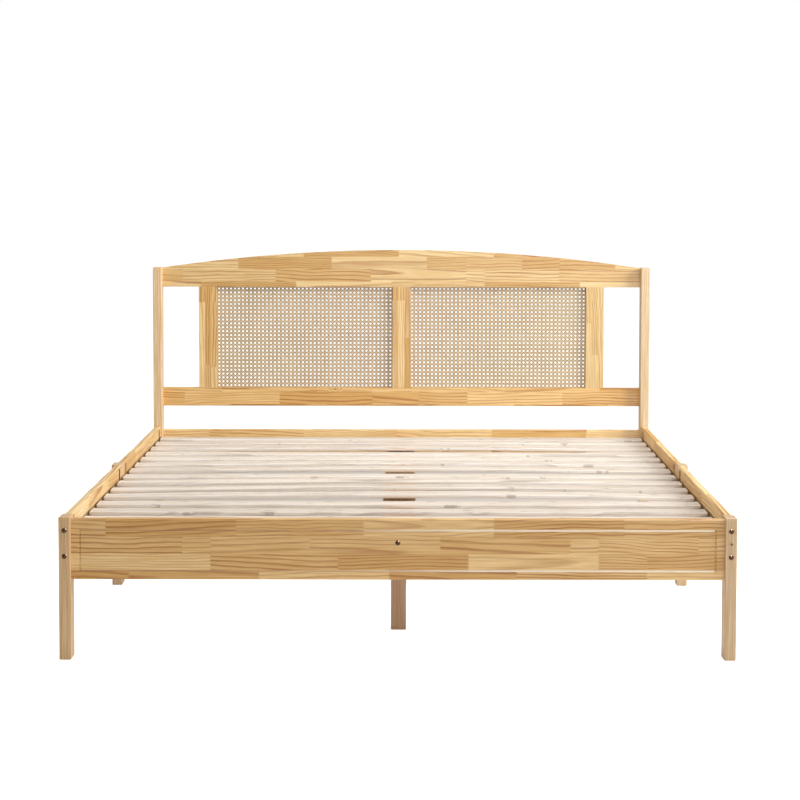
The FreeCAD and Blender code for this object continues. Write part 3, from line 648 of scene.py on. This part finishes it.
def pine_board(name, pine, box, axes, edge=None, courses=None, course_height=None):
    """Clear pine in staves. The axes name the way along, across and through the board.

    The edge is where two courses meet, and without one the lowest course starts at the board's own edge.
    """
    along_axis, across_axis, through_axis = (AXES.index(axis) for axis in axes)
    low, high = box
    pitch = course_height or pine.course_height
    edge = low[across_axis] if edge is None else edge
    first = math.floor((low[across_axis] - edge) / pitch + COURSE_TOLERANCE)
    last = math.ceil((high[across_axis] - edge) / pitch - COURSE_TOLERANCE)
    draw = random.Random(name)
    courses = courses or random_courses(draw, last - first)
    start, end = low[along_axis], high[along_axis]

    material, wires = new_material(name)
    along, across, through = split_axes(wires, axes)
    fingers = wires.maths("PINGPONG", across, pine.finger_pitch / 2)
    jagged = wires.maths("MULTIPLY_ADD", fingers, 2 * pine.finger_length / pine.finger_pitch, along)
    span = {"Value": jagged, "From Min": start, "From Max": end}
    place = wires.put("ShaderNodeMapRange", span).outputs["Result"]
    stave_colour = None
    for number, (joint, tones) in enumerate(courses):
        before = math.ceil((joint - start) / pine.stave_length)
        joints = [start]
        joints += [joint + pine.stave_length * step for step in range(1 - before, len(tones) - before)]
        starts = [min(1.0, max(0.0, (point - start) / (end - start))) for point in joints]
        ramp = course_ramp(wires, place, starts, [lay_stave(draw, tone) for tone in tones])
        if number == 0:
            stave_colour = ramp
        else:
            above = wires.maths("GREATER_THAN", across, edge + pitch * (first + number))
            stave_colour = wires.blend(above, stave_colour, ramp)
    turns = wires.maths("DIVIDE", wires.minus(across, edge), pitch)
    within = wires.centred(wires.maths("FRACT", turns), pitch)
    inward = wires.minus(through, low[through_axis])
    return finish_wood(material, wires, pine, (along, within, inward, across), stave_colour)


def within_spans(wires, share, *spans):
    """The share where each value lies between its own two limits, and 0 elsewhere."""
    for value, low, high in spans:
        share = wires.times(share, wires.maths("GREATER_THAN", value, low))
        share = wires.times(share, wires.maths("LESS_THAN", value, high))
    return share


def tint_part(material, wires, share, colour):
    """Blends a colour into the part of a material where the share isn't 0."""
    base = shader_of(material).inputs["Base Color"]
    wires.feed(base, wires.blend(share, base.links[0].from_socket, list(colour)))


def painted_groove_highlight(material, pine, box):
    """Painted highlight in the groove's level runs, where light catches their wall, stronger towards the
    right.
    """
    wires = Wiring(material.node_tree)
    along, across, through = split_axes(wires, "XZY")
    low, high = box
    depth = wires.minus(through, low.y)
    bare = within_spans(
        wires,
        wires.step(along, low.x * GROOVE_FADE, high.x * GROOVE_FADE, *GROOVE_HIGHLIGHT_SHARES),
        (depth, pine.groove_skin, pine.groove_depth),
        (along, low.x + pine.groove_end, high.x - pine.groove_end),
        (across, low.z + pine.groove_edge, high.z - pine.groove_edge),
    )
    tint_part(material, wires, bare, pine.groove)


def painted_slot_shade(material, pine, box, inner_face):
    """Painted shade inside the nut slots, which are cut into a side rail's inner face."""
    wires = Wiring(material.node_tree)
    along, across, through = split_axes(wires, "YZX")
    low, high = box
    depth = wires.maths("ABSOLUTE", wires.minus(through, inner_face))
    inside = within_spans(
        wires,
        1.0,
        (depth, pine.groove_skin, high.x - low.x - SLOT_MARGIN),
        (along, low.y + FOOT_SLOT, high.y - SLOT_MARGIN),
        (across, low.z + SLOT_MARGIN, high.z - SLOT_MARGIN),
    )
    tint_part(material, wires, inside, pine.slot)


def painted_gap_shade(material, pine, box):
    """Painted shade on the ledgers' outer edge, under the gap between a slat's end and the side rail."""
    wires = Wiring(material.node_tree)
    across = split_axes(wires, "X")[0]
    outer = box[1].x
    gap = wires.step(wires.maths("ABSOLUTE", across), outer - GAP_SHADE_START, outer - GAP_SHADE_FULL)
    tint_part(material, wires, gap, pine.slot)


def painted_band_shade(material, pine, inner_face, bottom, top):
    """Painted shade on a side rail's inner face at the slats' level, where deep shade falls between the
    slats' ends.
    """
    wires = Wiring(material.node_tree)
    across, through = split_axes(wires, "ZX")
    depth = wires.maths("ABSOLUTE", wires.minus(through, inner_face))
    band = wires.times(wires.maths("LESS_THAN", depth, pine.groove_skin), BAND_SHARE)
    tint_part(material, wires, within_spans(wires, band, (across, bottom, top)), pine.slot)


def post_wood(name, posts, box, axes):
    """Clear pine of one length, without joints."""
    material, wires = new_material(name)
    places = split_axes(wires, axes)
    low, high = box
    middles = [(low[AXES.index(axis)] + high[AXES.index(axis)]) / 2 for axis in axes]
    along, across, through = [wires.minus(*pair) for pair in zip(places, middles)]
    draw = random.Random(name)
    stave = (draw.uniform(*POST_TONES), draw.random(), draw.uniform(*POST_LINES), 1.0)
    return finish_wood(material, wires, posts, (along, across, through, across), stave)


def slat_wood(name, slats, axes, bottom, edge, pitch):
    """Bare pale pine in strips that lie pitch apart, each with a figure of its own."""
    material, wires = new_material(name)
    along, across, through = split_axes(wires, axes)
    turns = wires.maths("DIVIDE", wires.minus(across, edge), pitch)
    tone, seed, strength = wires.draws(wires.maths("FLOOR", turns), SLAT_DRAWS)
    stave = wires.put("ShaderNodeCombineColor", {
        "Red": wires.ranged(tone, *SLAT_TONES),
        "Green": seed,
        "Blue": wires.ranged(strength, *SLAT_LINES),
    }).outputs["Color"]
    within = wires.centred(wires.maths("FRACT", turns), pitch)
    inward = wires.minus(through, bottom)
    stain = wires.noise(wires.scaled((along, across, seed), STAIN_GRAIN), FINE_DETAIL)
    streak = wires.step(stain, *STAIN_RANGE, 0.0, STAIN_SHARE)
    return finish_wood(material, wires, slats, (along, within, inward, across), stave, streak)


def painted_edge_light(material, slats):
    """Painted light: paler colour on the slats' upright long edges, which lifts their shaded front faces."""
    wires = Wiring(material.node_tree)
    normal = wires.put("ShaderNodeTexCoord").outputs["Normal"]
    sideways = wires.put("ShaderNodeSeparateXYZ", {"Vector": normal}).outputs["Y"]
    share = wires.step(wires.maths("ABSOLUTE", sideways), *EDGE_LIGHT_TURN, 0.0, EDGE_LIGHT_SHARE)
    tint_part(material, wires, share, slats.edge)


def plated_metal(name, colour, roughness):
    """Plated steel with fine mottling."""
    material, wires = new_material(name)
    shader = shader_of(material)
    mottle = wires.noise(wires.place(), FINE_DETAIL, MOTTLE_SCALE)
    dark = [channel * MOTTLE_DARK for channel in colour[:3]] + [1.0]
    wires.feed(shader.inputs["Base Color"], wires.blend(mottle, dark, list(colour)))
    wires.feed(shader.inputs["Roughness"], wires.maths("MULTIPLY_ADD", mottle, MOTTLE_ROUGHNESS, roughness))
    shader.inputs["Metallic"].default_value = 1.0
    return material


def paint(material, *names):
    """Puts a material in the slots of CAD nodes."""
    for name in names:
        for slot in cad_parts[name].material_slots:
            slot.material = material


def joined_box(names):
    """The box round several CAD nodes."""
    boxes = [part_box(name) for name in names]
    low = Vector([min(box[0][axis] for box in boxes) for axis in range(3)])
    high = Vector([max(box[1][axis] for box in boxes) for axis in range(3)])
    return low, high


class BED_OT_headboard_frame(bpy.types.Operator):
    """Give the headboard's rails and stiles their staves"""

    bl_idname = "bed.headboard_frame"
    bl_label = "Headboard Frame"

    def execute(self, context):
        pine = context.scene.pine_bed.pine
        rails = {
            "headboard_top_rail": (TOP_RAIL_EDGE, TOP_RAIL_COURSES),
            "headboard_lower_rail": (LOWER_RAIL_EDGE, LOWER_RAIL_COURSES),
            "head_end_rail": (HEAD_END_RAIL_EDGE, HEAD_END_RAIL_COURSES),
        }
        for name, (edge, courses) in rails.items():
            paint(pine_board(name, pine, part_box(name), "XZY", edge, courses), name)
        for side, courses in STILE_COURSES.items():
            name = "headboard_stile_" + side
            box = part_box(name)
            strip = (box[1].x - box[0].x) / len(courses)
            paint(pine_board(name, pine, box, "ZXY", courses=courses, course_height=strip), name)
        for side in ("left", "right"):
            name = "cane_beads_" + side
            paint(pine_board(name, pine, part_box(name), "XZY"), name)
        return {"FINISHED"}


class BED_OT_footboard(bpy.types.Operator):
    """Give the footboard its staves"""

    bl_idname = "bed.footboard"
    bl_label = "Footboard"

    def execute(self, context):
        pine = context.scene.pine_bed.pine
        name = "footboard_panel"
        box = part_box(name)
        material = pine_board(name, pine, box, "XZY", FOOTBOARD_EDGE, FOOTBOARD_COURSES)
        # Painted highlight in the groove's level runs
        painted_groove_highlight(material, pine, box)
        paint(material, name)
        return {"FINISHED"}


class BED_OT_posts(bpy.types.Operator):
    """Give the corner posts and mid legs their upright grain"""

    bl_idname = "bed.posts"
    bl_label = "Posts and Mid Legs"

    def execute(self, context):
        posts = context.scene.pine_bed.posts
        for kind in ("foot_post", "head_post", "mid_leg"):
            for side in ("left", "right"):
                name = kind + "_" + side
                paint(post_wood(name, posts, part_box(name), "ZXY"), name)
        return {"FINISHED"}


class BED_OT_side_rails(bpy.types.Operator):
    """Give the half side rails their staves"""

    bl_idname = "bed.side_rails"
    bl_label = "Side Rails"

    def execute(self, context):
        pine = context.scene.pine_bed.pine
        ledger_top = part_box("slat_ledger_left_front")[1].z
        slat_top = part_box("slat_01")[1].z
        for side in ("left", "right"):
            for end in ("front", "rear"):
                name = "side_rail_" + side + "_" + end
                low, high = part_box(name)
                inner_face = high.x if side == "left" else low.x
                material = pine_board(name, pine, (low, high), "YZX")
                # Painted shade in the nut slots
                painted_slot_shade(material, pine, (low, high), inner_face)
                # Painted shade on the rail beside the slats' ends
                painted_band_shade(material, pine, inner_face, ledger_top, slat_top)
                paint(material, name)
        return {"FINISHED"}


def sprung_slat(name, rise, crown):
    """A copy of a slat's mesh that rises in an arch from one ledger to the other."""
    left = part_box("slat_ledger_left_front")[1].x
    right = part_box("slat_ledger_right_front")[0].x
    shape = bmesh.new()
    shape.from_mesh(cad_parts[name].data)
    bmesh.ops.remove_doubles(shape, verts=shape.verts, dist=WELD_DISTANCE)
    for number in range(round((right - left) / BOW_STEP) + 1):
        whole = shape.verts[:] + shape.edges[:] + shape.faces[:]
        point = (left + BOW_STEP * number, 0.0, 0.0)
        bmesh.ops.bisect_plane(shape, geom=whole, plane_co=point, plane_no=(1.0, 0.0, 0.0))
    for vertex in shape.verts:
        place = min(right, max(left, vertex.co.x))
        foot = right if place > crown else left
        vertex.co.z += rise * (1.0 - ((place - crown) / (foot - crown)) ** 2)
    shape.verts.index_update()
    mesh = bpy.data.meshes.new(name + "_sprung")
    faces = [[vertex.index for vertex in face.verts] for face in shape.faces]
    mesh.from_pydata([vertex.co for vertex in shape.verts], [], faces)
    shape.free()
    mesh.shade_smooth()
    mesh.set_sharp_from_angle(angle=SLAT_SHARP_ANGLE)
    return bpy.data.objects.new(name + "_sprung", mesh)


class BED_OT_slats(bpy.types.Operator):
    """Give the slats bare pale pine with painted light on their edges, the ledgers darker pine with painted
    shade, and spring some slats upward
    """

    bl_idname = "bed.slats"
    bl_label = "Slats and Ledgers"

    def execute(self, context):
        looks = context.scene.pine_bed
        names = sorted(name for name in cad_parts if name.startswith("slat_") and name[-2:].isdigit())
        low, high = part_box(names[0])
        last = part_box(names[-1])[0].y
        pitch = (last - low.y) / (len(names) - 1)
        gap = pitch - (high.y - low.y)
        material = slat_wood("slats", looks.slats, "XYZ", low.z, low.y - gap / 2, pitch)
        # Painted light on the slats' upright edges
        painted_edge_light(material, looks.slats)
        paint(material, *names)
        for name, (rise, crown) in SLAT_BOWS.items():
            slat = sprung_slat(name, rise, crown)
            slat.data.materials.append(material)
            context.scene.collection.objects.link(slat)
            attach(slat, BODY)
            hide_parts(name)
        ledgers = [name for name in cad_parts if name.startswith("slat_ledger")]
        low, high = joined_box(ledgers)
        # The beam finish's darker pine on the ledgers is painted shade under the slats
        material = slat_wood("slat_ledgers", looks.beam, "YXZ", low.z, low.x, high.x - low.x)
        # Painted shade on the ledgers' outer edges
        painted_gap_shade(material, looks.pine, (low, high))
        paint(material, *ledgers)
        return {"FINISHED"}


class BED_OT_centre_beam(bpy.types.Operator):
    """Give the centre beam and its legs their grain"""

    bl_idname = "bed.centre_beam"
    bl_label = "Centre Beam and Legs"

    def execute(self, context):
        beam = context.scene.pine_bed.beam
        # The beam finish's darker, browner pine is painted shade under the bed
        paint(post_wood("centre_beam", beam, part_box("centre_beam"), "YXZ"), "centre_beam")
        for place in ("front", "middle", "rear"):
            name = "centre_leg_" + place
            paint(post_wood(name, beam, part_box(name), "ZXY"), name)
        return {"FINISHED"}


def strand(path, across, width, thickness):
    """Points and faces of one closed strand with a lens-shaped section, along a path in a panel's plane."""
    outward = Vector((0.0, thickness / 2, 0.0))
    sideways = across * (width / 2)
    section = (-sideways, -outward, sideways, outward)
    points = [point + offset for point in path for offset in section]
    faces = [(3, 2, 1, 0)]
    for step in range(len(path) - 1):
        base = 4 * step
        faces += [(base + i, base + (i + 1) % 4, base + 4 + (i + 1) % 4, base + 4 + i) for i in range(4)]
    end = len(points) - 4
    faces.append((end, end + 1, end + 2, end + 3))
    return points, faces


def pair_strand_path(count, pitch, cross_offset, lift, margin):
    """Places along a strand of a pair, each with its depth: it crosses a pair at every hole's edge."""
    stops = [(-margin, 0.0)]
    for number in range(count + 1):
        middle = pitch * number
        if number:
            stops.append((middle - pitch / 2, 0.0))
        stops.append((middle - cross_offset, -lift))
        stops.append((middle + cross_offset, lift))
    stops.append((pitch * count + margin, 0.0))
    return stops


def weave_strands(cane, low, high):
    """All the strands of one panel, whose opening is from low to high.

    Each has its path, its share of painted shade at each point of the path, its way across and its width. The
    painted shade is 1 halfway between two crossings of the pairs, where the slanting strands cross them and
    shade falls, and 0 at a crossing.
    """
    width = high.x - low.x
    height = high.z - low.z
    columns = round(width / cane.hole_pitch)
    rows = round(height / cane.hole_pitch)
    pitch_x = width / columns
    pitch_z = height / rows
    middle = (low.y + high.y) / 2
    offset = (cane.strand_width + cane.pair_gap) / 2
    lift = cane.thickness / 2
    margin = cane.margin
    x_axis = Vector((1.0, 0.0, 0.0))
    z_axis = Vector((0.0, 0.0, 1.0))
    strands = []

    def add_strand(path, across, strand_width):
        crossing_shades = []
        for point in path:
            x_turn = 2 * math.pi * (point.x - low.x) / pitch_x
            z_turn = 2 * math.pi * (point.z - low.z) / pitch_z
            crossing_shades.append(0.5 - 0.5 * math.cos(x_turn) * math.cos(z_turn))
        strands.append((path, crossing_shades, across, strand_width))

    for column in range(columns + 1):
        for side in (-1, 1):
            x = low.x + pitch_x * column + side * offset
            stops = pair_strand_path(rows, pitch_z, offset, side * lift, margin)
            path = [Vector((x, middle + depth, low.z + place)) for place, depth in stops]
            add_strand(path, x_axis, cane.strand_width)
    for row in range(rows + 1):
        for side in (-1, 1):
            z = low.z + pitch_z * row + side * offset
            stops = pair_strand_path(columns, pitch_x, offset, -side * lift, margin)
            path = [Vector((low.x + place, middle + depth, z)) for place, depth in stops]
            add_strand(path, z_axis, cane.strand_width)

    # Slanting strands pass in front of one set of pairs and behind the other, a quarter hole to a step
    diagonal_lift = cane.thickness * DIAGONAL_LIFT
    waves = (0.0, 1.0, 0.0, -1.0)
    for slope in (1, -1):
        across = Vector((-slope * pitch_z, 0.0, pitch_x)).normalized()
        for line in range(-rows, columns + rows + 1):
            path = []
            for quarter in range(-4, 4 * rows + 5):
                up = quarter / 4
                x = low.x + pitch_x * (line + 0.5 + slope * up)
                z = low.z + pitch_z * up
                inside_x = low.x - margin <= x <= high.x + margin
                inside_z = low.z - margin <= z <= high.z + margin
                if inside_x and inside_z:
                    depth = slope * diagonal_lift * waves[(quarter + 1) % 4]
                    path.append(Vector((x, middle + depth, z)))
            if len(path) > 1:
                add_strand(path, across, cane.diagonal_width)
    return strands


def cane_material(cane):
    """Split cane: pale, with a satin skin, fine mottling and strands that differ in tone."""
    material, wires = new_material("split_cane")
    shader = shader_of(material)
    tone = wires.put("ShaderNodeAttribute", attribute_name="strand_tone").outputs["Fac"]
    place = wires.place()
    streak = wires.noise(place, FINE_DETAIL, CANE_STREAK_SCALE)
    patch = wires.noise(place, scale=CANE_PATCH_SCALE)
    shade = wires.plus(wires.times(tone, CANE_TONE), wires.centred(streak, CANE_STREAK))
    shade = wires.plus(shade, wires.centred(patch, CANE_PATCH))
    colour = wires.blend(wires.step(shade, 0.0, 1.0), list(cane.pale), list(cane.dark))
    # Painted shade where the slanting strands cross the pairs
    nip = wires.put("ShaderNodeAttribute", attribute_name="strand_nip").outputs["Fac"]
    wires.feed(shader.inputs["Base Color"], wires.blend(nip, colour, list(cane.nip), "MULTIPLY"))
    wires.feed(shader.inputs["Roughness"], wires.ranged(streak, *CANE_ROUGHNESS))
    return material


class BED_OT_cane_panels(bpy.types.Operator):
    """Weave the two cane panels of the headboard"""

    bl_idname = "bed.cane_panels"
    bl_label = "Cane Panels"

    def execute(self, context):
        cane = context.scene.pine_bed.cane
        material = cane_material(cane)
        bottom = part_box("headboard_lower_rail")[1].z
        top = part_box("headboard_top_rail")[0].z
        centre_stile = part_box("headboard_stile_centre")
        spans = {
            "left": (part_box("headboard_stile_left")[1].x, centre_stile[0].x),
            "right": (centre_stile[1].x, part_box("headboard_stile_right")[0].x),
        }
        for side, (left, right) in spans.items():
            node = "cane_panel_" + side
            sheet_low, sheet_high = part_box(node)
            low = Vector((left, sheet_low.y, bottom))
            high = Vector((right, sheet_high.y, top))
            draw = random.Random(node)
            points, faces, tones, crossing_shades = [], [], [], []
            for path, path_crossing_shades, across, width in weave_strands(cane, low, high):
                strand_points, strand_faces = strand(path, across, width, cane.thickness)
                faces += [tuple(len(points) + corner for corner in face) for face in strand_faces]
                points += strand_points
                tones += [draw.random()] * len(strand_points)
                crossing_shades += [nip for nip in path_crossing_shades for _ in range(len(strand_points) // len(path))]
            mesh = bpy.data.meshes.new("cane_weave_" + side)
            mesh.from_pydata(points, [], faces)
            # Each strand's random tone, and its painted shade where the slanting strands cross the pairs
            for name, values in (("strand_tone", tones), ("strand_nip", crossing_shades)):
                mesh.attributes.new(name, "FLOAT", "POINT").data.foreach_set("value", values)
            mesh.shade_smooth()
            mesh.materials.append(material)
            weave = bpy.data.objects.new("cane_weave_" + side, mesh)
            context.scene.collection.objects.link(weave)
            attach(weave, BODY)
            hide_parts(node)
        return {"FINISHED"}


class BED_OT_fasteners(bpy.types.Operator):
    """Plate the bolts, nuts and screws, and give the dowels their wood"""

    bl_idname = "bed.fasteners"
    bl_label = "Fasteners"

    def execute(self, context):
        looks = context.scene.pine_bed
        metal = looks.metal
        bronze = plated_metal("bronze_plate", metal.bronze, metal.bronze_roughness)
        paint(bronze, "rail_bolts", "footboard_bolts", "head_end_rail_bolts", "beam_bolts", "half_moon_nuts")
        zinc = plated_metal("zinc_plate", metal.zinc, metal.zinc_roughness)
        paint(zinc, "mid_leg_studs", "barrel_nuts", "centre_leg_bolts", "ledger_screws", "slat_screws")
        dowels = ("rail_dowels", "end_board_dowels", "headboard_dowels")
        paint(pine_board("dowel_wood", looks.pine, joined_box(dowels), "YZX"), *dowels)
        return {"FINISHED"}


def soft_light(scene, name, power, size, place, target):
    """A square soft light that faces the target, and that the camera doesn't see."""
    light = bpy.data.lights.new(name, "AREA")
    light.energy = power
    light.size = size
    lamp = bpy.data.objects.new(name, light)
    lamp.location = place
    lamp.rotation_euler = (target - Vector(place)).to_track_quat("-Z", "Y").to_euler()
    lamp.visible_camera = False
    scene.collection.objects.link(lamp)
    return lamp


def floor_material(look):
    """A pale floor that glows a little, with a soft shaded patch."""
    material, wires = new_material("studio_floor")
    shader = shader_of(material)
    shader.inputs["Roughness"].default_value = FLOOR_ROUGHNESS
    shader.inputs["Emission Color"].default_value = look.floor
    inputs = {0: wires.place(), 1: look.shadow_place}
    offset = wires.put("ShaderNodeVectorMath", inputs, operation="SUBTRACT").outputs["Vector"]
    parts = wires.put("ShaderNodeSeparateXYZ", {"Vector": offset}).outputs
    shaded = 1.0
    for axis, half in (("X", look.shadow_width), ("Y", look.shadow_length)):
        inside = wires.step(wires.maths("ABSOLUTE", parts[axis]), half - look.shadow_edge, half, 1.0, 0.0)
        shaded = wires.times(inside, shaded)
    wires.feed(shader.inputs["Base Color"], wires.blend(shaded, list(look.floor), list(look.shadow)))
    glow = wires.maths("MULTIPLY_ADD", shaded, -look.floor_glow, look.floor_glow)
    seen = wires.put("ShaderNodeLightPath").outputs["Is Camera Ray"]
    wires.feed(shader.inputs["Emission Strength"], wires.times(seen, glow))
    return material


def lay_floor(scene, look):
    """A wide flat floor."""
    mesh = bpy.data.meshes.new("studio_floor")
    reach = FLOOR_REACH
    corners = [(-reach, -reach, 0.0), (reach, -reach, 0.0), (reach, reach, 0.0), (-reach, reach, 0.0)]
    mesh.from_pydata(corners, [], [(0, 1, 2, 3)])
    mesh.materials.append(floor_material(look))
    floor = bpy.data.objects.new("studio_floor", mesh)
    scene.collection.objects.link(floor)


def light_room(scene, look):
    """White all round, full to the camera and weaker on the bed, and three soft lights."""
    world = bpy.data.worlds.new("studio_light")
    world.use_nodes = True
    scene.world = world
    wires = Wiring(world.node_tree)
    background = world.node_tree.nodes["Background"]
    background.inputs["Color"].default_value = WHITE
    seen = wires.put("ShaderNodeLightPath").outputs["Is Camera Ray"]
    wires.feed(background.inputs["Strength"], wires.ranged(seen, look.fill, 1.0))
    target = Vector(look.light_target)
    soft_light(scene, "key_light", look.key_power, look.key_size, look.key_place, target)
    soft_light(scene, "top_light", look.top_power, look.top_size, look.top_place, target)
    glint = soft_light(scene, "glint_light", look.glint_power, look.glint_size, look.glint_place, target)
    glint.visible_diffuse = False


def place_camera(scene, look):
    """The camera, in front of the foot end."""
    camera = bpy.data.cameras.new("camera")
    camera.lens = look.focal_length
    camera.shift_x, camera.shift_y = look.camera_shift
    viewer = bpy.data.objects.new("camera", camera)
    viewer.location = look.camera_place
    viewer.rotation_euler = (math.pi / 2 - look.camera_tilt, -look.camera_roll, 0.0)
    scene.collection.objects.link(viewer)
    scene.camera = viewer


class BED_OT_stage(bpy.types.Operator):
    """Set the floor, the light and the camera"""

    bl_idname = "bed.stage"
    bl_label = "Stage"

    def execute(self, context):
        scene = context.scene
        look = scene.pine_bed.stage
        scene.view_settings.view_transform = "Standard"
        lay_floor(scene, look)
        light_room(scene, look)
        place_camera(scene, look)
        return {"FINISHED"}


OPERATORS = (
    BED_OT_headboard_frame,
    BED_OT_cane_panels,
    BED_OT_footboard,
    BED_OT_posts,
    BED_OT_side_rails,
    BED_OT_slats,
    BED_OT_centre_beam,
    BED_OT_fasteners,
    BED_OT_stage,
)


class BED_PT_looks(bpy.types.Panel):
    """Lists what dresses the bed, and its settings"""

    bl_idname = "BED_PT_looks"
    bl_label = "Pine Bed"
    bl_space_type = "VIEW_3D"
    bl_region_type = "UI"
    bl_category = "Pine Bed"

    def draw(self, context):
        looks = context.scene.pine_bed
        for operator in OPERATORS:
            self.layout.operator(operator.bl_idname)
        for group in (getattr(looks, name) for name in BedLooks.__annotations__):
            box = self.layout.box()
            for name in group.__annotations__:
                box.prop(group, name)


FINISHES = (PineFinish, PostFinish, BeamFinish, SlatFinish, CaneWeave, MetalFinish, StageLook)
CLASSES = (*FINISHES, BedLooks, *OPERATORS, BED_PT_looks)


def register():
    for item in CLASSES:
        bpy.utils.register_class(item)
    bpy.types.Scene.pine_bed = PointerProperty(type=BedLooks)


def unregister():
    del bpy.types.Scene.pine_bed
    for item in reversed(CLASSES):
        bpy.utils.unregister_class(item)


def main():
    register()
    bpy.ops.bed.headboard_frame()
    bpy.ops.bed.cane_panels()
    bpy.ops.bed.footboard()
    bpy.ops.bed.posts()
    bpy.ops.bed.side_rails()
    bpy.ops.bed.slats()
    bpy.ops.bed.centre_beam()
    bpy.ops.bed.fasteners()
    bpy.ops.bed.stage()


if __name__ == "__main__":
    main()
